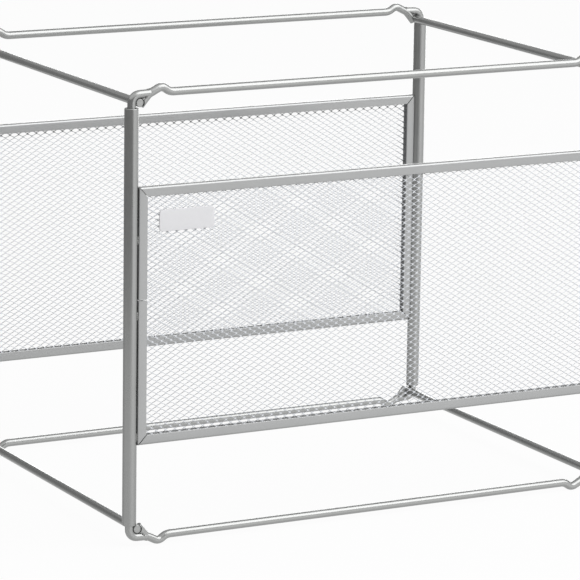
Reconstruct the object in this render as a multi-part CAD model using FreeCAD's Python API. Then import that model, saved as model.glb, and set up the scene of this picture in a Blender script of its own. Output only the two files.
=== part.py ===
"""Mesh file organizer: a knock-down desk stand of bent silver wire and mesh end panels.

Two like frames of welded wire, one turned over on top of the other, plug into the tube posts of
two like end panels. The top frame's side wires are the rails that carry the load, and the bumps
of the bottom frame's crossbars are the feet.

Millimetres, +Z up, +X to the right, front towards -Y. The origin is the middle of the footprint,
on the surface that the feet stand on.
"""

import FreeCAD
import Part

import math
import os

from FreeCAD import Vector

# Overall layout
rail_spacing = 318.0             # middle of one rail to middle of the other, for letter size
post_spacing_y = 236.5           # front post axis to rear post axis
post_length = 250.5

# Tube posts
post_radius = 4.2
leg_clearance = 0.1              # radial, between a leg and the bore of its post

# Wires of the top and bottom frames
leg_radius = 2.5
leg_insertion = 40.0             # how far a leg reaches into its post
arm_climb = 2.0                  # the leg's arm leaves its elbow at this slope, in degrees
wire_radius = 2.5                # crossbars, rails and bottom side wires
bend_step = 34.0                 # largest turn between a bend's straight pieces, in degrees
side_wire_seat = 0.3             # between a post's end and the side wire above or below it
side_wire_overhang = 1.2         # past the plane of the post axes
elbow_gap = 0.03                 # between an elbow and the side wire that it is bent round

# Bumps at both ends of a crossbar
crossbar_rise = 8.2              # from the post's end to the middle of the straight bar
bump_height = 2.9                # of the centre line at its crest, above the straight bar
inner_flank_slope = 33.0         # from the straight bar up to the crest, in degrees
outer_flank_slope = 27.0         # from the crest down to the strand
strand_slope = 50.0              # of the strand that ends at the side wire
strand_offset = 1.5              # from the side wire's middle line to the strand's
strand_tail = 0.9                # length of the strand past the place where they lie nearest
strand_bend_reach = 6.0          # from the side wire's middle to the bend above the strand
crest_radius = 3.0
flank_radius = 8.0               # where the straight bar turns up into the bump
strand_radius = 4.0
foot_flat = 0.15                 # how deep a crest is worn flat where it stands

# End panels
rim_bottom = 49.4                # from the posts' lower ends up to the front panel's rim
rim_height = 154.7
rim_face = 6.0                   # width of the channel's flanges
rim_depth = 5.0                  # front to back
rim_sheet = 0.8
rim_to_post = 0.2                # gap that the weld beads bridge
mitre_slit = 0.15                # between the folded flanges at a corner
seam_slit = 0.25                 # where the two ends of the channel meet, in the left member
seam_below_rim_top = 67.5
bead_heights = [5.0, 76.7, 122.7]  # above the rim's lower edge
bead_length = 7.0
bead_width = 2.2                 # from the rim's side towards the post's axis
bead_depth = 2.5                 # front to back
bead_slant = 0.35                # how far the bead's front falls back on its way to the post
bead_setback = 0.05              # behind the rim's front face

# Expanded metal sheet, drawn with fewer and larger diamonds so that it stays light
diamond_columns = 7              # the real sheet has about 50
diamond_rows = 5                 # the real sheet has about 40
diamond_open_x = 0.66            # share of the pitch that is open
diamond_open_z = 0.62            # share of the pitch that is open
mesh_thickness = 1.0
mesh_edge_clearance = 0.3        # from the sheet's edge to the web of the channel
mesh_border = 4.2                # uncut edge of the sheet, hidden in the channel

# Bare label plate on the front mesh
plate_width = 36.0
plate_height = 12.4
plate_thickness = 0.8
plate_corner_radius = 1.8
plate_inset = 7.0                # from the inner edges of the rim's upper left corner

# Places that follow from the sizes above
x_dir = Vector(1, 0, 0)
y_dir = Vector(0, 1, 0)
z_dir = Vector(0, 0, 1)
elbow_radius = leg_radius + elbow_gap + wire_radius
side_wire_inset = elbow_radius
side_wire_rise = wire_radius + side_wire_seat
post_spacing_x = rail_spacing + 2 * side_wire_inset
post_x = post_spacing_x / 2
post_y = post_spacing_y / 2
crest_rise = crossbar_rise + bump_height
post_foot = crest_rise + wire_radius - foot_flat
post_top = post_foot + post_length
middle = Vector(0, 0, post_foot + post_length / 2)
rim_low = post_foot + rim_bottom
rim_high = rim_low + rim_height
rim_half_width = post_x - post_radius - rim_to_post
rim_front = -post_y - post_radius
mesh_front = rim_front + rim_sheet


def bent_wire(corners, bend_radii, radius):
    """A round wire along straight runs between corners, each inner corner bent to its radius.

    A bend is a row of short straight pieces that touch its arc from outside, mitred where they
    meet, because a piece of a torus takes far more facets.
    """
    points = [corners[0]]
    for before, corner, after, bend in zip(corners, corners[1:], corners[2:], bend_radii):
        back = (before - corner).normalize()
        ahead = (after - corner).normalize()
        half_angle = back.getAngle(ahead) / 2
        to_centre = (back + ahead).normalize() * (bend / math.sin(half_angle))
        bend_start = back * (bend / math.tan(half_angle)) - to_centre
        turn = 180 - math.degrees(half_angle) * 2
        pieces = math.ceil(turn / bend_step)
        outwards = 1 / math.cos(math.radians(turn / pieces / 2))
        for piece in range(pieces):
            spin = FreeCAD.Rotation(ahead.cross(back), turn * (piece + 0.5) / pieces)
            points.append(corner + to_centre + spin.multVec(bend_start) * outwards)
    points.append(corners[-1])
    section = Part.Wire(Part.makeCircle(radius, points[0], points[1] - points[0]))
    mitred = 1
    return Part.makePolygon(points).makePipeShell([section], True, False, mitred)


def side_wire(overhang):
    """Left side wire of the top frame, past the plane of the post axes by its overhang."""
    length = post_spacing_y + 2 * overhang
    start = Vector(-rail_spacing / 2, -length / 2, side_wire_rise)
    return Part.makeCylinder(wire_radius, length, start, y_dir)


def bar_corners():
    """Corners of the rear crossbar's left half: the strand's tail, its bend, apex, flank foot."""
    inner_slope = math.radians(inner_flank_slope)
    outer_slope = math.radians(outer_flank_slope)
    fall = math.radians(strand_slope)
    side_wire_middle = Vector(-rail_spacing / 2, post_y, side_wire_rise)
    nearest = side_wire_middle + Vector(math.sin(fall), 0, -math.cos(fall)) * strand_offset
    up_strand = Vector(math.cos(fall), 0, math.sin(fall))
    tail = nearest - up_strand * strand_tail
    strand_bend = nearest + up_strand * ((side_wire_middle.x + strand_bend_reach - nearest.x) / up_strand.x)
    crest_turn = (inner_slope + outer_slope) / 2
    crest_lean = (inner_slope - outer_slope) / 2
    apex_z = crest_rise + crest_radius * (math.cos(crest_lean) / math.cos(crest_turn) - 1)
    apex = Vector(strand_bend.x + (apex_z - strand_bend.z) / math.tan(outer_slope), post_y, apex_z)
    flank_foot = Vector(apex.x + (apex_z - crossbar_rise) / math.tan(inner_slope), post_y, crossbar_rise)
    return [tail, strand_bend, apex, flank_foot]


def crossbar():
    """Rear crossbar of the top frame, with a bump and a slanting strand at both ends.

    The strand is hollowed by the side wire that it is welded to. The crests are worn flat,
    because the same bar is also the pair of feet of the bottom frame.
    """
    left_half = bar_corners()
    right_half = [Vector(-point.x, point.y, point.z) for point in reversed(left_half)]
    left_bends = [strand_radius, crest_radius, flank_radius]
    wire = bent_wire(left_half + right_half, left_bends + left_bends[::-1], wire_radius)
    worn = Part.makeBox(
        post_spacing_x,
        wire_radius * 4,
        foot_flat * 2,
        Vector(-post_x, post_y - wire_radius * 2, crest_rise + wire_radius - foot_flat),
    )
    left_groove = side_wire(wire_radius * 2)
    right_groove = left_groove.mirror(Vector(0, 0, 0), x_dir)
    return wire.cut([worn, left_groove, right_groove])


def leg(bar):
    """L-shaped leg at the frame's left rear corner, as the top frame carries it.

    It points down into the post, whose upper end is at z = 0 here. Its elbow is bent round the
    side wire. Its arm turns inwards, climbs a little and ends in the crossbar's outer flank,
    where it is cut to the bar's round surface and welded.
    """
    axis = Vector(-post_x, post_y, 0)
    climb = math.radians(arm_climb)
    elbow_run = elbow_radius * math.tan((math.pi / 2 - climb) / 2)
    elbow = axis + z_dir * (side_wire_rise + elbow_run)
    strand_bend = bar_corners()[1]
    flank_rise = math.tan(math.radians(outer_flank_slope))
    arm_rise = math.tan(climb)
    to_bend = strand_bend - elbow
    arm_reach = (flank_rise * to_bend.x - to_bend.z) / (flank_rise - arm_rise)
    arm_end = elbow + x_dir * arm_reach + z_dir * (arm_reach * arm_rise)
    wire = bent_wire([axis - z_dir * leg_insertion, elbow, arm_end], [elbow_radius], leg_radius)
    return wire.cut(bar)


def wire_frame():
    """Pieces of one welded frame by their places, with the posts' ends at z = 0."""
    origin = Vector(0, 0, 0)
    left_wire = side_wire(side_wire_overhang)
    right_wire = left_wire.mirror(origin, x_dir)
    rear_bar = crossbar()
    rear_left_leg = leg(rear_bar)
    rear_right_leg = rear_left_leg.mirror(origin, x_dir)
    return {
        "front_crossbar": rear_bar.mirror(origin, y_dir),
        "rear_crossbar": rear_bar,
        "left_wire": left_wire,
        "right_wire": right_wire,
        "leg_front_left": rear_left_leg.mirror(origin, y_dir),
        "leg_front_right": rear_right_leg.mirror(origin, y_dir),
        "leg_rear_left": rear_left_leg,
        "leg_rear_right": rear_right_leg,
    }


def front_post(side):
    """Tube post of the front panel, on the left for side -1 and on the right for side +1."""
    foot = Vector(side * post_x, -post_y, post_foot)
    tube = Part.makeCylinder(post_radius, post_length, foot)
    return tube.cut(Part.makeCylinder(leg_radius + leg_clearance, post_length, foot))


def panel_block(inset, y_from, y_to):
    """Block over the front panel's rim outline, drawn in by an inset on its four sides."""
    return Part.makeBox(
        2 * (rim_half_width - inset),
        y_to - y_from,
        rim_height - 2 * inset,
        Vector(-rim_half_width + inset, y_from, rim_low + inset),
    )


def front_rim():
    """Channel folded round the mesh, its open side inwards, its flanges slit on the mitres."""
    rim_back = rim_front + rim_depth
    rim = panel_block(0, rim_front, rim_back)
    rim = rim.cut(panel_block(rim_face, rim_front, rim_back))
    rim = rim.cut(panel_block(rim_sheet, rim_front + rim_sheet, rim_back - rim_sheet))
    slit_length = rim_face * 2
    for side in (-1, 1):
        for up in (-1, 1):
            corner = Vector(side * rim_half_width, 0, rim_high if up > 0 else rim_low)
            inwards = Vector(-side, 0, -up).normalize()
            across = Vector(side, 0, -up).normalize()
            slit_start = corner + inwards * (rim_sheet * math.sqrt(2))
            outline = Part.makePolygon([
                slit_start - across * (mitre_slit / 2),
                slit_start + across * (mitre_slit / 2),
                slit_start + inwards * slit_length + across * (mitre_slit / 2),
                slit_start + inwards * slit_length - across * (mitre_slit / 2),
                slit_start - across * (mitre_slit / 2),
            ])
            outline.translate(y_dir * rim_front)
            rim = rim.cut(Part.Face(outline).extrude(y_dir * rim_depth))
    seam = Part.makeBox(
        rim_face,
        rim_depth,
        seam_slit,
        Vector(-rim_half_width, rim_front, rim_high - seam_below_rim_top - seam_slit / 2),
    )
    return rim.cut(seam)


def front_mesh():
    """Expanded metal sheet with staggered rows of diamonds, its uncut edge inside the channel.

    The diamonds that lie on the uncut edge are cut off there to halves and quarters.
    """
    edge_inset = rim_sheet + mesh_edge_clearance
    half_width = rim_half_width - edge_inset
    half_height = rim_height / 2 - edge_inset
    open_half_width = half_width - mesh_border
    open_half_height = half_height - mesh_border
    reach_x = diamond_open_x * open_half_width / diamond_columns
    reach_z = diamond_open_z * open_half_height / diamond_rows
    outlines = [[(-half_width, -half_height), (half_width, -half_height), (half_width, half_height),
                 (-half_width, half_height)]]
    for row in range(2 * diamond_rows + 1):
        for column in range(row % 2, 2 * diamond_columns + 1, 2):
            x = open_half_width * (column / diamond_columns - 1)
            z = open_half_height * (row / diamond_rows - 1)
            left = max(x - reach_x, -open_half_width)
            right = min(x + reach_x, open_half_width)
            low = max(z - reach_z, -open_half_height)
            high = min(z + reach_z, open_half_height)
            tips = [tip for tip in ((left, z), (x, low), (right, z), (x, high)) if tip != (x, z)]
            if len(tips) == 2:
                tips.append((x, z))
            outlines.append(tips)
    centre = Vector(0, mesh_front, rim_low + rim_height / 2)
    wires = []
    for outline in outlines:
        points = [centre + Vector(x, 0, z) for x, z in outline]
        wires.append(Part.makePolygon(points + points[:1]))
    sheet = Part.makeFace(wires, "Part::FaceMakerBullseye")
    return sheet.extrude(y_dir * mesh_thickness)


def weld_beads(post_left, post_right):
    """Short beads in the front grooves between the rim's side members and the round posts."""
    bead_front = rim_front + bead_setback
    beads = []
    for side, post in ((-1, post_left), (1, post_right)):
        at_rim = side * rim_half_width
        by_post = side * (rim_half_width + bead_width)
        for height in bead_heights:
            low_end = rim_low + height - bead_length / 2
            section = Part.makePolygon([
                Vector(at_rim, bead_front, low_end),
                Vector(by_post, bead_front + bead_slant, low_end),
                Vector(by_post, bead_front + bead_depth, low_end),
                Vector(at_rim, bead_front + bead_depth, low_end),
                Vector(at_rim, bead_front, low_end),
            ])
            beads.append(Part.Face(section).extrude(z_dir * bead_length).cut(post))
    return Part.makeCompound(beads)


def label_plate():
    """Bare plate with rounded corners, lying on the front mesh near its upper left corner."""
    low_left = Vector(
        -rim_half_width + rim_face + plate_inset,
        mesh_front - plate_thickness,
        rim_high - rim_face - plate_inset - plate_height,
    )
    block = Part.makeBox(plate_width, plate_thickness, plate_height, low_left)
    corners = [edge for edge in block.Edges if abs(edge.tangentAt(edge.FirstParameter).y) > 0.5]
    return block.makeFillet(plate_corner_radius, corners)


def end_panel():
    """Pieces of the front panel by name; the rear panel is the same one turned over."""
    post_left = front_post(-1)
    post_right = front_post(1)
    return {
        "left_post": post_left,
        "right_post": post_right,
        "panel_rim": front_rim(),
        "mesh": front_mesh(),
        "panel_weld_beads": weld_beads(post_left, post_right),
    }


def turned_over(shape, pivot):
    """Copy of a shape turned half round about a line along X."""
    turned = shape.copy()
    turned.rotate(pivot, x_dir, 180)
    return turned


def organizer():
    """All pieces by the names of their files."""
    nodes = {}
    for place, shape in wire_frame().items():
        top = shape.copy()
        top.translate(z_dir * post_top)
        name = {"left_wire": "left_rail", "right_wire": "right_rail"}.get(place, "top_" + place)
        nodes[name] = top
    for place, shape in wire_frame().items():
        base = turned_over(shape, Vector(0, 0, 0))
        base.translate(z_dir * post_foot)
        opposite = {"front": "rear", "rear": "front"}
        words = [opposite.get(word, word) for word in place.split("_")]
        nodes["base_" + "_".join(words)] = base
    for name, shape in end_panel().items():
        nodes["front_" + name] = shape
        nodes["rear_" + name] = turned_over(shape, middle)
    nodes["label_plate"] = label_plate()
    return nodes


os.makedirs("parts", exist_ok=True)
for node_name, node_shape in organizer().items():
    if not node_shape.isValid():
        raise ValueError(node_name + " is not a valid shape")
    node_shape.exportStep("parts/" + node_name + ".step")
    print(node_name, len(node_shape.Solids), "solids", round(node_shape.Volume, 1), "mm3")
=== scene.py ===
"""Mesh file organizer in satin silver paint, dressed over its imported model.

Bent wires, tube posts, folded channel rims, expanded metal sheets, weld beads and a bare label
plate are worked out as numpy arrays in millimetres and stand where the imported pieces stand.
"""

import math

import bmesh
import bpy
import numpy as np
from mathutils import Matrix


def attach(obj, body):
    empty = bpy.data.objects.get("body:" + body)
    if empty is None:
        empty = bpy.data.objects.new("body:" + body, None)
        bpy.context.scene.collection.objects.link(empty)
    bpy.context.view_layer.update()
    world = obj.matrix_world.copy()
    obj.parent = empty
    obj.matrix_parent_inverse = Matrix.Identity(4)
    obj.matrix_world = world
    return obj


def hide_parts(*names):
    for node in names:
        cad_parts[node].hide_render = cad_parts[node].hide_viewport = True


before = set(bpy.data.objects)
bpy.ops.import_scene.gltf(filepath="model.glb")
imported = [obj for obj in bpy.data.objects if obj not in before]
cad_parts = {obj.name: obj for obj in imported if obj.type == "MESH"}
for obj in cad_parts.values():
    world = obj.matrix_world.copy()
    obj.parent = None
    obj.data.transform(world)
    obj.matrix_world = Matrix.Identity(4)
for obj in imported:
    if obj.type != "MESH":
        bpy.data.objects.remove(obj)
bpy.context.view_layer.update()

# Sizes in millimetres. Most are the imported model's. The rim, weld beads, plate and crests are drawn
# up to about two millimetres away from it, closer to the photograph, and the expanded sheet has
# its real, much finer pitch.
RAIL_SPACING = 318.0
POST_SPACING_Y = 236.5
POST_LENGTH = 250.5
POST_RADIUS = 4.2
POST_BORE = 2.6
WIRE_RADIUS = 2.5
LEG_INSERTION = 40.0
ARM_CLIMB = math.radians(2.0)
ELBOW_RADIUS = 5.03
SIDE_WIRE_RISE = 2.8
SIDE_WIRE_OVERHANG = 1.2
POST_X = RAIL_SPACING / 2 + ELBOW_RADIUS
POST_Y = POST_SPACING_Y / 2
CROSSBAR_RISE = 8.2
CREST_RISE = 11.1
CREST_TOP = 13.45
INNER_SLOPE = math.radians(33.0)
OUTER_SLOPE = math.radians(27.0)
STRAND_SLOPE = math.radians(50.0)
STRAND_OFFSET = 1.5
STRAND_TAIL = 0.9
STRAND_BEND_REACH = 6.0
STRAND_RADIUS = 4.0
CREST_RADIUS = 4.5
FLANK_RADIUS = 8.0
POST_FOOT = CREST_TOP
POST_TOP = POST_FOOT + POST_LENGTH
RIM_ABOVE_FOOT = 48.9
RIM_LOW = POST_FOOT + RIM_ABOVE_FOOT
RIM_HEIGHT = 155.2
RIM_INTO_POST = 0.55
RIM_HALF_WIDTH = POST_X - POST_RADIUS + RIM_INTO_POST
RIM_SETBACK = 0.6
RIM_FRONT = -POST_Y - POST_RADIUS + RIM_SETBACK
RIM_FACE = 6.0
RIM_SIDE_FACE = 5.6
RIM_FOLD = 1.5
RIM_SIDE_FOLD = 0.45
RIM_SLOT = 1.0
RIM_DEPTH = 5.0
RIM_SHEET = 0.8
SEAM_BELOW_TOP = 67.5
SEAM_SLIT = 0.7
MITRE_SLIT = 0.75
BEAD_HEIGHTS = (5.0, 78.2, 123.5)
BEAD_LENGTH = 5.4
BEAD_RADIUS = 0.95
BEAD_OUTWARDS = 0.45
BEAD_SETBACK = 1.2
DIAMOND_PITCH_X = 6.15
DIAMOND_PITCH_Z = 3.73
MESH_EDGE_GAP = 0.3
MESH_SETBACK = 0.6
PLATE_WIDTH = 36.0
PLATE_HEIGHT = 13.0
PLATE_THICKNESS = 0.8
PLATE_CORNER = 2.1
PLATE_INSET_X = 7.25
PLATE_INSET_Z = 8.5

# Angles in degrees, the lens in millimetres for a sensor of that width, and the rest in metres
CAMERA_TURNS = (-28.106, 12.262, 0.860)
CAMERA_LENS = 239.61
CAMERA_SENSOR = 36.0
CAMERA_SPOT = (-1.12130, -2.10870, 0.63717)
LIT_MIDDLE = (0, 0, 0.14)
FLOOR_REACH = 8.0


# Camera

def place_camera():
    """Long lens looking down a little from the front left, turned by the photograph's small roll."""
    azimuth, elevation, roll = (math.radians(angle) for angle in CAMERA_TURNS)
    back = np.array([math.sin(azimuth) * math.cos(elevation), -math.cos(azimuth) * math.cos(elevation),
                     math.sin(elevation)])
    level = np.cross(-back, (0, 0, 1))
    level /= np.linalg.norm(level)
    upright = np.cross(back, level)
    right = math.cos(roll) * level + math.sin(roll) * upright
    up = -math.sin(roll) * level + math.cos(roll) * upright
    data = bpy.data.cameras.new("camera")
    data.lens = CAMERA_LENS
    data.sensor_width = CAMERA_SENSOR
    data.clip_end = 100.0
    camera = bpy.data.objects.new("camera", data)
    turn = Matrix(np.column_stack([right, up, back]).tolist()).to_4x4()
    camera.matrix_world = Matrix.Translation(CAMERA_SPOT) @ turn
    bpy.context.scene.collection.objects.link(camera)
    bpy.context.scene.camera = camera


place_camera()
bpy.context.scene.view_settings.view_transform = "Standard"


# Materials

def linear(text):
    """Linear colour, with alpha, of an sRGB hex value."""
    parts = [int(text[i:i + 2], 16) / 255 for i in (1, 3, 5)]
    return [c / 12.92 if c <= 0.04045 else ((c + 0.055) / 1.055) ** 2.4 for c in parts] + [1.0]


def add_node(tree, kind, fields, values, links):
    """One node of a kind, with its own fields, its input values and the outputs linked to its inputs."""
    new = tree.nodes.new(kind)
    for key, value in fields.items():
        setattr(new, key, value)
    for key, value in values.items():
        new.inputs[key].default_value = value
    for key, output in links.items():
        tree.links.new(output, new.inputs[key])
    return new


def cleared_tree(owner):
    """The node tree of a material or a world, emptied."""
    owner.use_nodes = True
    owner.node_tree.nodes.clear()
    return owner.node_tree


def silver_paint(name, colour, thin_colour, metallic, roughness, peel_mm=1.6, peel_depth=0.012):
    """Aluminium flake lacquer on steel, sprayed and baked.

    Fine flakes sparkle a little, the colour drifts in long soft clouds where the coat is thinner,
    and the skin has a slight orange peel. The real flakes are far under 0.1 mm across, so they
    are drawn further apart to show at all.
    """
    cloud_mm, flake_mm = 18, 0.35
    material = bpy.data.materials.new(name)
    tree = cleared_tree(material)
    place = add_node(tree, "ShaderNodeTexCoord", {}, {}, {}).outputs["Object"]
    clouds = add_node(tree, "ShaderNodeTexNoise", {}, {"Scale": 1000 / cloud_mm, "Detail": 3.0},
                      {"Vector": place})
    tone = add_node(tree, "ShaderNodeMix", {"data_type": "RGBA"}, {6: linear(thin_colour), 7: linear(colour)},
                    {0: clouds.outputs["Fac"]})
    flakes = add_node(tree, "ShaderNodeTexVoronoi", {}, {"Scale": 1000 / flake_mm}, {"Vector": place})
    glint = add_node(tree, "ShaderNodeMapRange", {}, {"To Min": 0.96, "To Max": 1.04},
                     {"Value": flakes.outputs["Color"]})
    paint = add_node(tree, "ShaderNodeMix", {"data_type": "RGBA", "blend_type": "MULTIPLY"}, {0: 1.0},
                     {6: tone.outputs[2], 7: glint.outputs["Result"]})
    grip = add_node(tree, "ShaderNodeMapRange", {}, {"To Min": roughness - 0.05, "To Max": roughness + 0.06},
                    {"Value": clouds.outputs["Fac"]})
    peel = add_node(tree, "ShaderNodeTexNoise", {}, {"Scale": 1000 / peel_mm, "Detail": 2.0},
                    {"Vector": place})
    skin = add_node(tree, "ShaderNodeBump", {}, {"Strength": 0.2, "Distance": peel_depth / 1000},
                    {"Height": peel.outputs["Fac"]})
    shader = add_node(tree, "ShaderNodeBsdfPrincipled", {},
                      {"Metallic": metallic, "Coat Weight": 0.12, "Coat Roughness": 0.25},
                      {"Base Color": paint.outputs[2], "Roughness": grip.outputs["Result"],
                       "Normal": skin.outputs["Normal"]})
    add_node(tree, "ShaderNodeOutputMaterial", {}, {}, {"Surface": shader.outputs["BSDF"]})
    return material


def white_gloss(name):
    """White ABS, injection moulded: clean, slightly cool, glossy, with a faint flow ripple."""
    flow_mm, ripple_m = 9, 0.00002
    material = bpy.data.materials.new(name)
    tree = cleared_tree(material)
    place = add_node(tree, "ShaderNodeTexCoord", {}, {}, {}).outputs["Object"]
    flow = add_node(tree, "ShaderNodeTexNoise", {}, {"Scale": 1000 / flow_mm, "Detail": 1.0},
                    {"Vector": place})
    tone = add_node(tree, "ShaderNodeMix", {"data_type": "RGBA"},
                    {6: linear("#EFEFF2"), 7: linear("#F4F4F6")}, {0: flow.outputs["Fac"]})
    skin = add_node(tree, "ShaderNodeBump", {}, {"Strength": 0.2, "Distance": ripple_m},
                    {"Height": flow.outputs["Fac"]})
    shader = add_node(tree, "ShaderNodeBsdfPrincipled", {},
                      {"Roughness": 0.32, "IOR": 1.52, "Coat Weight": 0.2, "Coat Roughness": 0.12},
                      {"Base Color": tone.outputs[2], "Normal": skin.outputs["Normal"]})
    add_node(tree, "ShaderNodeOutputMaterial", {}, {}, {"Surface": shader.outputs["BSDF"]})
    return material


WIRE_PAINT = silver_paint("satin silver lacquer on drawn wire", "#AAABAA", "#A1A2A1", 0.85, 0.24)
POST_PAINT = silver_paint("satin silver lacquer on steel tube", "#A8A9A8", "#9E9F9E", 0.85, 0.28)
RIM_PAINT = silver_paint("satin silver lacquer on folded sheet", "#AEAFAF", "#A5A6A6", 0.8, 0.3)
MESH_PAINT = silver_paint("satin silver lacquer on expanded sheet", "#9FA1A4", "#95979B", 0.85, 0.28)
BEAD_PAINT = silver_paint("silver lacquer pooled on weld beads", "#8C8D8B", "#6F706E", 0.7, 0.40, 0.8, 0.05)
PLATE_ABS = white_gloss("white ABS plate")


# Meshes

CREASE = math.radians(35.0)


def put_piece(name, points, faces, material, body, slot, nodes):
    """A mesh object from points in millimetres and arrays of faces, riding on a body for CAD nodes.

    Each array holds faces with one count of corners. Faces turn outwards, and edges bent by more
    than the crease angle stay sharp.
    """
    mesh = bpy.data.meshes.new(name)
    loops = np.concatenate([np.asarray(block).ravel() for block in faces])
    totals = np.concatenate([np.full(len(block), np.shape(block)[1]) for block in faces])
    mesh.vertices.add(len(points))
    mesh.vertices.foreach_set("co", (np.asarray(points) * 0.001).astype(np.float32).ravel())
    mesh.loops.add(len(loops))
    mesh.loops.foreach_set("vertex_index", loops.astype(np.int32))
    mesh.polygons.add(len(totals))
    mesh.polygons.foreach_set("loop_start", (np.cumsum(totals) - totals).astype(np.int32))
    mesh.update(calc_edges=True)
    solid = bmesh.new()
    solid.from_mesh(mesh)
    bmesh.ops.recalc_face_normals(solid, faces=solid.faces)
    solid.to_mesh(mesh)
    solid.free()
    mesh.shade_smooth()
    mesh.set_sharp_from_angle(angle=CREASE)
    mesh.materials.append(material)
    piece = bpy.data.objects.new(name, mesh)
    bpy.context.scene.collection.objects.link(piece)
    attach(piece, body)
    if nodes:
        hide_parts(*nodes)


def grid_faces(rows, columns):
    """Faces between rings of points, row after row, each ring closed on itself."""
    row, column = np.meshgrid(np.arange(rows - 1), np.arange(columns), indexing="ij")
    after = (column + 1) % columns
    return np.stack([row * columns + column, row * columns + after,
                     (row + 1) * columns + after, (row + 1) * columns + column], axis=-1).reshape(-1, 4)


def tube_faces(rows, columns):
    """Faces of a run of rings with a flat face over each end."""
    first = np.arange(columns)[None, ::-1]
    last = np.arange(columns)[None, :] + (rows - 1) * columns
    return [grid_faces(rows, columns), first, last]


def joined(parts):
    """One set of points and faces from several."""
    starts = np.cumsum([0] + [len(points) for points, _ in parts])
    points = np.concatenate([points for points, _ in parts])
    faces = [np.asarray(block) + start for (_, blocks), start in zip(parts, starts) for block in blocks]
    return points, faces


# Bent wires

def bent_path(corners, bends, steps=14):
    """Points and headings along straight runs joined by arcs that touch both runs.

    An arc's points are its centre plus its radius turned step by step from one run to the next.
    """
    corners = [np.array(corner, float) for corner in corners]
    points = [corners[0][None]]
    headings = [((corners[1] - corners[0]) / np.linalg.norm(corners[1] - corners[0]))[None]]
    for before, corner, after, bend in zip(corners, corners[1:], corners[2:], bends):
        back = (before - corner) / np.linalg.norm(before - corner)
        ahead = (after - corner) / np.linalg.norm(after - corner)
        half = math.acos(np.clip(back @ ahead, -1, 1)) / 2
        to_centre = (back + ahead) / np.linalg.norm(back + ahead) * bend / math.sin(half)
        start = back * bend / math.tan(half) - to_centre
        way = np.sign(ahead[0] * back[1] - ahead[1] * back[0])
        turn = way * np.linspace(0, math.pi - 2 * half, steps)
        spin = np.stack([np.cos(turn), -np.sin(turn), np.sin(turn), np.cos(turn)], -1).reshape(-1, 2, 2)
        points.append(corner + to_centre + spin @ start)
        headings.append(spin @ -back)
    points.append(corners[-1][None])
    headings.append(headings[-1][-1:])
    return np.concatenate(points), np.concatenate(headings)


def round_wire(corners, bends, plane_y, radius, dressed=0.35, sides=36, close_rings=0.0):
    """Round wire along a path in a plane of constant Y, its cut ends eased by a quarter round.

    A point is the path's point plus the radius times the cosine of its angle across the heading
    and the sine along Y. Towards an end the radius shrinks as the quarter round does. Over the
    length of the close rings at both ends there is a ring every quarter of a millimetre.
    """
    path, heading = bent_path(corners, bends)
    if close_rings:
        way = np.concatenate([[0.0], np.cumsum(np.linalg.norm(np.diff(path, axis=0), axis=1))])
        extra = np.arange(1.0, close_rings, 0.25)
        stops = np.unique(np.concatenate([way, extra, way[-1] - extra]))
        path = np.stack([np.interp(stops, way, path[:, 0]), np.interp(stops, way, path[:, 1])], -1)
        heading = np.stack([np.interp(stops, way, heading[:, 0]), np.interp(stops, way, heading[:, 1])], -1)
        heading /= np.linalg.norm(heading, axis=1, keepdims=True)
    eased = 5
    ease = np.linspace(0, math.pi / 2, eased)
    inset = dressed * (1 - np.sin(ease))
    shrink = dressed * (1 - np.cos(ease))
    start = path[0] + heading[0] * inset[::-1, None]
    end = path[-1] - heading[-1] * inset[:, None]
    path = np.concatenate([start, path[1:-1], end])
    heading = np.concatenate([np.repeat(heading[:1], eased, 0), heading[1:-1],
                              np.repeat(heading[-1:], eased, 0)])
    size = np.full(len(path), radius)
    size[:eased] -= shrink[::-1]
    size[-eased:] -= shrink
    angle = np.linspace(0, 2 * math.pi, sides, endpoint=False)
    across = np.stack([-heading[:, 1], heading[:, 0]], -1)
    points = np.empty((len(path), sides, 3))
    reach = size[:, None] * np.cos(angle)
    points[..., 0] = path[:, :1] + across[:, :1] * reach
    points[..., 1] = plane_y + size[:, None] * np.sin(angle)
    points[..., 2] = path[:, 1:] + across[:, 1:] * reach
    return points.reshape(-1, 3), tube_faces(len(path), sides)


def side_wire():
    """Left side wire: a straight round wire along Y with eased ends."""
    half = POST_SPACING_Y / 2 + SIDE_WIRE_OVERHANG
    points, faces = round_wire([(-half, 0), (half, 0)], [], 0.0, WIRE_RADIUS)
    return points[:, [1, 0, 2]] + (-RAIL_SPACING / 2, 0, SIDE_WIRE_RISE), faces


def bar_corners():
    """Corners of the rear crossbar's left half: the strand's tail, its bend, apex, flank foot."""
    sin, cos, tan = math.sin, math.cos, math.tan
    along = np.array([cos(STRAND_SLOPE), sin(STRAND_SLOPE)])
    near = np.array([-RAIL_SPACING / 2 + sin(STRAND_SLOPE) * STRAND_OFFSET,
                     SIDE_WIRE_RISE - cos(STRAND_SLOPE) * STRAND_OFFSET])
    bend = near + along * ((-RAIL_SPACING / 2 + STRAND_BEND_REACH - near[0]) / along[0])
    turn, lean = (INNER_SLOPE + OUTER_SLOPE) / 2, (INNER_SLOPE - OUTER_SLOPE) / 2
    apex_z = CREST_RISE + CREST_RADIUS * (cos(lean) / cos(turn) - 1)
    apex = (bend[0] + (apex_z - bend[1]) / tan(OUTER_SLOPE), apex_z)
    foot = (apex[0] + (apex_z - CROSSBAR_RISE) / tan(INNER_SLOPE), CROSSBAR_RISE)
    return [near - along * STRAND_TAIL, bend, apex, foot]


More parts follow.
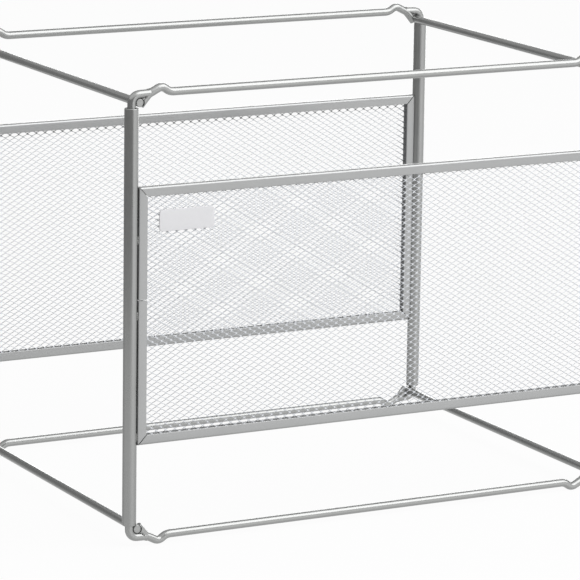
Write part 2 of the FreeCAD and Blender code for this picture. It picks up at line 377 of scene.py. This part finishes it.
def leg():
    """Rear left leg: down into the post, bent round the side wire, its arm ending in the crossbar.

    The arm's axis and that of the crossbar's outer flank meet at the arm's end.
    """
    run = ELBOW_RADIUS * math.tan((math.pi / 2 - ARM_CLIMB) / 2)
    elbow = (-POST_X, SIDE_WIRE_RISE + run)
    bend = bar_corners()[1]
    climb, flank = math.tan(ARM_CLIMB), math.tan(OUTER_SLOPE)
    reach = (flank * (bend[0] - elbow[0]) - (bend[1] - elbow[1])) / (flank - climb)
    arm_end = (elbow[0] + reach, elbow[1] + reach * climb)
    return round_wire([(-POST_X, -LEG_INSERTION), elbow, arm_end], [ELBOW_RADIUS], POST_Y, WIRE_RADIUS)


def crossbar():
    """Rear crossbar with its bumps and slanting strands, each crest worn flat at one height.

    Where a strand would lie inside the side wire, its skin moves square to the strand, out to the
    side wire's round: by Pythagoras, from the place along the strand and the side wire's radius.
    Below its bend a strand steps inwards by up to half a millimetre, so that it passes behind the
    arm that is welded over it.
    """
    left = bar_corners()
    corners = left + [(-point[0], point[1]) for point in reversed(left)]
    bends = [STRAND_RADIUS, CREST_RADIUS, FLANK_RADIUS]
    points, faces = round_wire(corners, bends + bends[::-1], POST_Y, WIRE_RADIUS, dressed=0.2,
                               close_rings=6.0)
    points[:, 2] = np.minimum(points[:, 2], CREST_TOP)
    sin, cos = math.sin(STRAND_SLOPE), math.cos(STRAND_SLOPE)
    inwards = np.sign(-points[:, 0])
    x = RAIL_SPACING / 2 - np.abs(points[:, 0])
    z = points[:, 2] - SIDE_WIRE_RISE
    along, square = x * cos + z * sin, x * sin - z * cos
    step_in, step_from, step_run, skin_gap = 0.5, 9.0, 5.0, 0.01
    points[:, 1] -= step_in * np.clip((step_from - along) / step_run, 0.0, 1.0)
    round_edge = np.sqrt(np.maximum((WIRE_RADIUS + skin_gap) ** 2 - along ** 2, 0.0))
    square = np.where(np.abs(square) < round_edge, round_edge, square)
    points[:, 0] = -inwards * (RAIL_SPACING / 2 - (along * cos + square * sin))
    points[:, 2] = SIDE_WIRE_RISE + along * sin - square * cos
    return points, faces


def lump(centre, radii, lean, seed, rows=22, columns=36):
    """Small weld: an egg whose radius swells and dips a little by sines of both its angles.

    The egg lies along X, Y or Z by its radii and is turned by its lean about Y. Its poles are
    closed by rings of nearly no size under a flat face each.
    """
    pole = 0.02
    polar = np.linspace(pole, math.pi - pole, rows)[:, None]
    angle = np.linspace(0, 2 * math.pi, columns, endpoint=False)[None]
    swell = 1 + 0.06 * np.sin(3 * angle + seed) * np.sin(polar) ** 2 + 0.05 * np.sin(5 * polar + 2.3 * seed)
    shape = np.stack([swell * np.sin(polar) * np.cos(angle), swell * np.sin(polar) * np.sin(angle),
                      swell * np.cos(polar) * np.ones_like(angle)], -1).reshape(-1, 3) * radii
    cos, sin = math.cos(lean), math.sin(lean)
    turn = np.array([[cos, 0, sin], [0, 1, 0], [-sin, 0, cos]])
    return shape @ turn.T + centre, tube_faces(rows, columns)


def bar_welds():
    """Rear left welds: where the arm ends in the crossbar, and where the strand lies on the side wire.

    Each has its centre, its three radii, its lean and the seed of its swell.
    """
    return joined([
        lump((-153.6, POST_Y, 10.35), (1.7, 1.0, 0.35), -0.25, 1.1),
        lump((-155.2, POST_Y + 2.05, 6.6), (1.3, 0.4, 0.5), -0.75, 2.7),
        lump((-155.2, POST_Y - 2.05, 6.6), (1.3, 0.4, 0.5), -0.75, 4.2),
    ])


def wire_frames():
    """Both welded frames: the rear left quarter's pieces flipped over the middle planes.

    The top frame stands on the posts' upper ends. The base frame is the same frame turned half
    round about X, so its heights count down from the posts' lower ends.
    """
    for place, height, way in (("top", POST_TOP, 1), ("base", POST_FOOT, -1)):
        body, lift = f"{place}_frame", (0, 0, height)
        for end, sign in (("rear", 1), ("front", -1)):
            points, faces = crossbar()
            put_piece(f"{place}_{end}_crossbar_wire", points * (1, sign, way) + lift, faces,
                      WIRE_PAINT, body, "frame_wire", [f"{place}_{end}_crossbar"])
            for side, flip in (("left", 1), ("right", -1)):
                flips = (flip, sign, way)
                points, faces = leg()
                put_piece(f"{place}_{end}_{side}_leg_wire", points * flips + lift, faces,
                          WIRE_PAINT, body, "frame_wire", [f"{place}_leg_{end}_{side}"])
                points, faces = bar_welds()
                put_piece(f"{place}_{end}_{side}_bar_welds", points * flips + lift, faces,
                          BEAD_PAINT, body, "frame_wire", [])
        for side, flip in (("left", 1), ("right", -1)):
            points, faces = side_wire()
            node = f"{side}_rail" if place == "top" else f"base_{side}_wire"
            put_piece(f"{node}_round", points * (flip, 1, way) + lift, faces,
                      WIRE_PAINT, body, "frame_wire", [node])


# End panels, drawn at the front; the rear one is the same turned half round about X

def turned_over(points):
    """Points turned half round about the line along X through the middle of the posts."""
    return points * (1, -1, -1) + (0, 0, POST_FOOT + POST_TOP)


def both_panels(name, points, faces, material, slot, nodes):
    """The piece on the front panel, and its copy turned over on the rear panel."""
    put_piece(f"front_{name}", points, faces, material, "front_panel", slot, [f"front_{n}" for n in nodes])
    put_piece(f"rear_{name}", turned_over(points), faces, material, "rear_panel", slot,
              [f"rear_{n}" for n in nodes])


def post_tube(side, sides=64):
    """Tube post: a wall profile turned once round the post's axis, both rims of both ends eased."""
    ease = np.linspace(0, math.pi / 2, 6)
    outer, inner = 0.45, 0.25
    up = np.concatenate([POST_RADIUS - outer + outer * np.sin(ease),
                         POST_RADIUS - outer + outer * np.cos(ease),
                         POST_BORE + inner - inner * np.sin(ease),
                         POST_BORE + inner - inner * np.cos(ease)])
    height = np.concatenate([outer - outer * np.cos(ease), POST_LENGTH - outer + outer * np.sin(ease),
                             POST_LENGTH - inner + inner * np.cos(ease), inner - inner * np.sin(ease)])
    angle = np.linspace(0, 2 * math.pi, sides, endpoint=False)
    points = np.stack([side * POST_X + np.outer(np.cos(angle), up),
                       -POST_Y + np.outer(np.sin(angle), up),
                       np.broadcast_to(POST_FOOT + height, (sides, len(up)))], -1)
    rings = grid_faces(sides + 1, len(up)) % (sides * len(up))
    return points.reshape(-1, 3), [rings]


def rounded_corners(corners, radii, steps=6):
    """Closed outline whose corners are quarter rounds of their radii, from corner points in order."""
    corners = np.array(corners, float)
    radii = np.array(radii, float)[:, None]
    back = np.roll(corners, 1, 0) - corners
    ahead = np.roll(corners, -1, 0) - corners
    back /= np.linalg.norm(back, axis=1, keepdims=True)
    ahead /= np.linalg.norm(ahead, axis=1, keepdims=True)
    angle = np.linspace(0, math.pi / 2, steps)[:, None]
    centre = corners + (back + ahead) * radii
    spokes = ahead[:, None] * np.cos(angle) + back[:, None] * np.sin(angle)
    return (centre[:, None] - radii[:, None] * spokes).reshape(-1, 2)


def channel_profile(face, fold):
    """The folded channel's section: inwards from the outline first, backwards from the front second.

    The slot that holds the sheet is drawn shallow, so that it doesn't show dark through the diamonds.
    """
    sheet, depth, slot = RIM_SHEET, RIM_DEPTH, face - RIM_SLOT
    edge, nook = 0.3, 0.25
    corners = [(0, 0), (face, 0), (face, sheet), (slot, sheet), (slot, depth - sheet), (face, depth - sheet),
               (face, depth), (0, depth)]
    return rounded_corners(corners, [fold, edge, edge, nook, nook, edge, edge, fold])


def rim_member(start, end, inwards, start_slope, end_slope, face, fold, rings=12):
    """One straight member of the rim: the channel's section carried from one end to the other.

    A point's inward reach shortens the member at an end by its slope, which makes the mitres.
    """
    section = channel_profile(face, fold)
    start, end, inwards = (np.array(v, float) for v in (start, end, inwards))
    along = (end - start) / np.linalg.norm(end - start)
    reach, depth = section[:, 0], section[:, 1]
    ends = []
    for corner, slope, way in ((start, start_slope, 1), (end, end_slope, -1)):
        flat = corner + np.outer(reach, inwards) + np.outer(reach * slope * way, along)
        ends.append(np.stack([flat[:, 0], RIM_FRONT + depth, flat[:, 1]], -1))
    length = np.linspace(0, 1, rings)[:, None, None]
    points = ends[0] * (1 - length) + ends[1] * length
    return points.reshape(-1, 3), tube_faces(rings, len(section))


def rim():
    """Four mitred members, the left one in two lengths that butt at the seam."""
    low, high, half = RIM_LOW, RIM_LOW + RIM_HEIGHT, RIM_HALF_WIDTH
    slit = MITRE_SLIT / 2
    seam = high - SEAM_BELOW_TOP
    flat, steep = RIM_SIDE_FACE / RIM_FACE, RIM_FACE / RIM_SIDE_FACE
    broad, slim = (RIM_FACE, RIM_FOLD), (RIM_SIDE_FACE, RIM_SIDE_FOLD)
    return joined([
        rim_member((-half + slit, high), (half - slit, high), (0, -1), flat, flat, *broad),
        rim_member((half - slit, low), (-half + slit, low), (0, 1), flat, flat, *broad),
        rim_member((half, high - slit), (half, low + slit), (-1, 0), steep, steep, *slim),
        rim_member((-half, low + slit), (-half, seam - SEAM_SLIT / 2), (1, 0), steep, 0, *slim),
        rim_member((-half, seam + SEAM_SLIT / 2), (-half, high - slit), (1, 0), 0, steep, *slim),
    ])


def expanded_sheet():
    """Expanded metal: zigzag ribbons, each the mirror of its neighbour, joined where they touch.

    A ribbon's middle line is flat at each bond and slopes between, coming forward at its peaks.
    Its section is a strip that leans back most at the bonds, so that each bond is one flat facet
    turned up, and that is narrowest half way down a slope, as slitting and drawing leave it.
    """
    pitch, row_rise = DIAMOND_PITCH_X, DIAMOND_PITCH_Z / 2
    bond, strip, thick, lean = 0.42, 0.44, 0.36, 0.6
    slim_strip, slim_lean = 0.26, 0.15
    swing = (row_rise - strip) / 2
    half_width = RIM_HALF_WIDTH - RIM_SHEET - MESH_EDGE_GAP
    half_height = RIM_HEIGHT / 2 - RIM_SHEET - MESH_EDGE_GAP
    rows = int((half_height - swing - strip) / row_rise)
    periods = int(half_width / pitch)
    slope_run = pitch / 2 - bond
    knots_x = np.array([-bond / 2, bond / 2, (bond + slope_run) / 2, bond / 2 + slope_run,
                        bond * 1.5 + slope_run, bond * 1.5 + slope_run * 1.5])
    knots_s = np.array([1.0, 1.0, 0.0, -1.0, -1.0, 0.0])
    x = (knots_x + pitch * np.arange(-periods, periods + 1)[:, None]).ravel()
    s = np.tile(knots_s, 2 * periods + 1)
    keep = np.abs(x) < half_width
    x, s = x[keep], s[keep]
    width = slim_strip + (strip - slim_strip) * np.abs(s)
    tilt = slim_lean + (lean - slim_lean) * np.abs(s)
    level = np.arange(-rows, rows + 1)
    phase = np.where(level % 2 == 0, 1.0, -1.0)[:, None]
    line_z = level[:, None] * row_rise + phase * s * swing
    line_y = -phase * s * lean * strip / 2
    across = np.stack([tilt, np.ones_like(tilt)], -1) * width[:, None] / 2
    normal = np.stack([np.cos(np.arctan(tilt)), -np.sin(np.arctan(tilt))], -1) * thick / 2
    section = np.stack([-across - normal, across - normal, across + normal, -across + normal], 1)
    points = np.empty((len(level), len(x), 4, 3))
    points[..., 0] = x[None, :, None]
    points[..., 1] = RIM_FRONT + RIM_SHEET + MESH_SETBACK + line_y[..., None] + section[..., 0]
    points[..., 2] = RIM_LOW + RIM_HEIGHT / 2 + line_z[..., None] + section[..., 1]
    step = np.arange(len(level))[:, None, None] * len(x) * 4
    blocks = [(block[None] + step).reshape(-1, block.shape[1]) for block in tube_faces(len(x), 4)]
    return points.reshape(-1, 3), blocks


def weld_bead(side, height, seed, rows=34, columns=20):
    """One bead laid in the front groove: overlapping ripples along its length, rounded ends.

    Its radius falls off bluntly towards both ends, and swells and dips by two small sines.
    """
    length = np.linspace(-1, 1, rows)
    least = 0.0004
    taper = np.sqrt(np.maximum(1 - np.abs(length) ** 6, least))
    ripple = 1 + 0.10 * np.sin(length * 14 + seed) + 0.05 * np.sin(length * 5 + 2 * seed)
    size = BEAD_RADIUS * taper * ripple
    angle = np.linspace(0, 2 * math.pi, columns, endpoint=False)
    points = np.empty((rows, columns, 3))
    middle_x = side * (RIM_HALF_WIDTH + BEAD_OUTWARDS)
    middle_y = RIM_FRONT + BEAD_SETBACK
    wander = side * 0.15 * np.sin(length * 4 + seed)[:, None]
    points[..., 0] = middle_x + wander + size[:, None] * np.cos(angle) * 1.05
    points[..., 1] = middle_y + size[:, None] * np.sin(angle)
    points[..., 2] = (RIM_LOW + height + length * BEAD_LENGTH / 2)[:, None]
    return points.reshape(-1, 3), tube_faces(rows, columns)


def label_plate():
    """Bare plate: rounded oblongs set one inside the other from its back over a rolled edge.

    The edge is a quarter round, and the front swells by a twentieth of a millimetre to its middle.
    """
    roll = 0.3
    swell = 0.05
    ease = np.linspace(0, math.pi / 2, 7)
    inner_insets, inner_shares = [1.6, 3.4, 5.4], np.array([0.5, 0.2, 0.0])
    inset = np.concatenate([[0.0], roll * (1 - np.cos(ease)), inner_insets])
    depth = np.concatenate([[PLATE_THICKNESS], swell + roll * (1 - np.sin(ease)), swell * inner_shares])
    left = -RIM_HALF_WIDTH + RIM_FACE + PLATE_INSET_X
    low = RIM_LOW + RIM_HEIGHT - RIM_FACE - PLATE_INSET_Z - PLATE_HEIGHT
    front = RIM_FRONT + RIM_SHEET - PLATE_THICKNESS
    least_corner = 0.4
    rings = []
    for step_in, step_back in zip(inset, depth):
        width, height = PLATE_WIDTH - 2 * step_in, PLATE_HEIGHT - 2 * step_in
        radius = max(PLATE_CORNER - step_in, least_corner)
        outline = rounded_corners([(0, 0), (width, 0), (width, height), (0, height)], [radius] * 4)
        rings.append(np.stack([left + step_in + outline[:, 0], np.full(len(outline), front + step_back),
                               low + step_in + outline[:, 1]], -1))
    return np.concatenate(rings), tube_faces(len(rings), len(rings[0]))


def end_panels():
    """Posts, rims, expanded sheets and weld beads of both panels, and the front panel's plate."""
    for side, word in ((-1, "left"), (1, "right")):
        both_panels(f"{word}_post_tube", *post_tube(side), POST_PAINT, "post", [f"{word}_post"])
    both_panels("channel_rim", *rim(), RIM_PAINT, "rim", ["panel_rim"])
    both_panels("expanded_sheet", *expanded_sheet(), MESH_PAINT, "mesh", ["mesh"])
    beads = joined([weld_bead(side, height, 1.7 * height + side)
                    for side in (-1, 1) for height in BEAD_HEIGHTS])
    both_panels("weld_beads", *beads, BEAD_PAINT, "rim", ["panel_weld_beads"])
    put_piece("bare_label_plate", *label_plate(), PLATE_ABS, "front_panel", "label_plate", ["label_plate"])


wire_frames()
end_panels()


# Floor and light

def seen_or_mirrored(tree, rays):
    """One for camera, glossy and transmission rays, and nought for the rest."""
    seen = rays.outputs["Is Camera Ray"]
    for kind in ("Is Glossy Ray", "Is Transmission Ray"):
        seen = add_node(tree, "ShaderNodeMath", {"operation": "MAXIMUM"}, {},
                        {0: seen, 1: rays.outputs[kind]}).outputs[0]
    return seen


def white_floor():
    """Wide white floor: matt, and lifted towards white for the camera and in reflections.

    The lift is light that the floor seems to give off to those rays alone, so the shadow stays. In
    reflections it is a pale grey glow that carries a painted reflection, brightening for rays going to
    the front right by the fourth power of the cosine between a ray and that side. A painted shade
    dims it for rays going the opposite way, by the eighth power of the same cosine.
    """
    material = bpy.data.materials.new("matt white paper")
    tree = cleared_tree(material)
    rays = add_node(tree, "ShaderNodeLightPath", {}, {}, {})
    seen = seen_or_mirrored(tree, rays)
    bright_side = math.radians(28.0)
    back = add_node(tree, "ShaderNodeNewGeometry", {}, {}, {}).outputs["Incoming"]
    facing = add_node(tree, "ShaderNodeVectorMath", {"operation": "DOT_PRODUCT"},
                      {1: (-math.sin(bright_side), math.cos(bright_side), 0.0)}, {0: back}).outputs["Value"]
    # Levels of the floor's glow in reflections: a base level, a painted reflection that brightens it towards
    # the front right, and a painted shade that dims it the opposite way
    satin, painted_sheen, shade = 0.84, 0.46, -0.5
    lobes = []
    for sign, power in ((1.0, 4.0), (-1.0, 8.0)):
        side = add_node(tree, "ShaderNodeMath", {"operation": "MULTIPLY", "use_clamp": True}, {1: sign},
                        {0: facing})
        lobes.append(add_node(tree, "ShaderNodeMath", {"operation": "POWER"}, {1: power},
                              {0: side.outputs[0]}).outputs[0])
    lifted = add_node(tree, "ShaderNodeMath", {"operation": "MULTIPLY_ADD"}, {1: painted_sheen, 2: satin},
                      {0: lobes[0]}).outputs[0]
    mirrored = add_node(tree, "ShaderNodeMath", {"operation": "MULTIPLY_ADD"}, {1: shade},
                        {0: lobes[1], 2: lifted}).outputs[0]
    level = add_node(tree, "ShaderNodeMix", {}, {2: 1.0},
                     {0: rays.outputs["Is Glossy Ray"], 3: mirrored}).outputs[0]
    matt = add_node(tree, "ShaderNodeBsdfDiffuse", {}, {"Color": linear("#F2F2F2")}, {})
    glow = add_node(tree, "ShaderNodeEmission", {}, {"Color": (1, 1, 1, 1)}, {"Strength": level})
    share = add_node(tree, "ShaderNodeMath", {"operation": "MULTIPLY"}, {1: 0.95}, {0: seen})
    mixed = add_node(tree, "ShaderNodeMixShader", {}, {},
                     {0: share.outputs[0], 1: matt.outputs[0], 2: glow.outputs[0]})
    add_node(tree, "ShaderNodeOutputMaterial", {}, {}, {"Surface": mixed.outputs[0]})
    mesh = bpy.data.meshes.new("floor")
    corners = [(-FLOOR_REACH, -FLOOR_REACH, 0), (FLOOR_REACH, -FLOOR_REACH, 0),
               (FLOOR_REACH, FLOOR_REACH, 0), (-FLOOR_REACH, FLOOR_REACH, 0)]
    mesh.from_pydata(corners, [], [(0, 1, 2, 3)])
    mesh.materials.append(material)
    floor = bpy.data.objects.new("floor", mesh)
    bpy.context.scene.collection.objects.link(floor)


def white_surround():
    """World: white where it is seen or mirrored, a plain soft grey where it lights."""
    world = bpy.data.worlds.new("surround")
    bpy.context.scene.world = world
    tree = cleared_tree(world)
    rays = add_node(tree, "ShaderNodeLightPath", {}, {}, {})
    seen = seen_or_mirrored(tree, rays)
    strength = add_node(tree, "ShaderNodeMapRange", {}, {"To Min": 0.45, "To Max": 1.0}, {"Value": seen})
    background = add_node(tree, "ShaderNodeBackground", {}, {"Color": (1, 1, 1, 1)},
                          {"Strength": strength.outputs[0]})
    add_node(tree, "ShaderNodeOutputWorld", {}, {}, {"Surface": background.outputs[0]})


def reflected_card(name, azimuths, radius, low, high, strength, columns=60):
    """Curved upright card that only reflections see, glowing evenly between two heights.

    Azimuth 0 is the front, and grows to the right. Radius and heights are in metres.
    """
    azimuth = np.radians(np.linspace(*azimuths, columns))
    foot = np.stack([np.sin(azimuth) * radius, -np.cos(azimuth) * radius, np.full(columns, low)], -1)
    points = np.concatenate([foot, foot + (0, 0, high - low)])
    material = bpy.data.materials.new(name)
    tree = cleared_tree(material)
    cloth = add_node(tree, "ShaderNodeEmission", {}, {"Color": (1, 1, 1, 1), "Strength": strength}, {})
    add_node(tree, "ShaderNodeOutputMaterial", {}, {}, {"Surface": cloth.outputs[0]})
    column = np.arange(columns - 1)
    faces = np.stack([column, column + 1, column + columns + 1, column + columns], -1)
    mesh = bpy.data.meshes.new(name)
    mesh.from_pydata(points.tolist(), [], faces.tolist())
    mesh.materials.append(material)
    card = bpy.data.objects.new(name, mesh)
    card.visible_camera = card.visible_diffuse = card.visible_shadow = card.visible_transmission = False
    bpy.context.scene.collection.objects.link(card)


def soft_box(name, azimuth, elevation, distance, width, height, glow):
    """Rectangular soft box that faces the object from a direction in degrees.

    Azimuth 0 is the front, and grows to the right. The glow is the box's own brightness, where
    white paper in plain light has 1, and the lamp's power is that times pi times its area.
    """
    data = bpy.data.lights.new(name, "AREA")
    data.shape = "RECTANGLE"
    data.size = width
    data.size_y = height
    data.energy = glow * math.pi * width * height
    lamp = bpy.data.objects.new(name, data)
    turn, rise = math.radians(azimuth), math.radians(elevation)
    back = np.array([math.sin(turn) * math.cos(rise), -math.cos(turn) * math.cos(rise), math.sin(rise)])
    side = np.cross((0, 0, 1), back)
    side /= np.linalg.norm(side)
    axes = Matrix(np.column_stack([side, np.cross(back, side), back]).tolist()).to_4x4()
    lamp.matrix_world = Matrix.Translation(back * distance + LIT_MIDDLE) @ axes
    bpy.context.scene.collection.objects.link(lamp)


white_floor()
white_surround()
reflected_card("grey_cloth", (-190, -8), 0.85, 0.0, 0.55, 0.3)
reflected_card("bright_backdrop", (116, 174), 1.6, 0.0, 0.75, 3.0)
reflected_card("grey_ceiling", (72, 225), 1.6, 0.6, 5.0, 0.52)
soft_box("key_box", 40, 46, 1.8, 2.0, 1.8, 1.9)
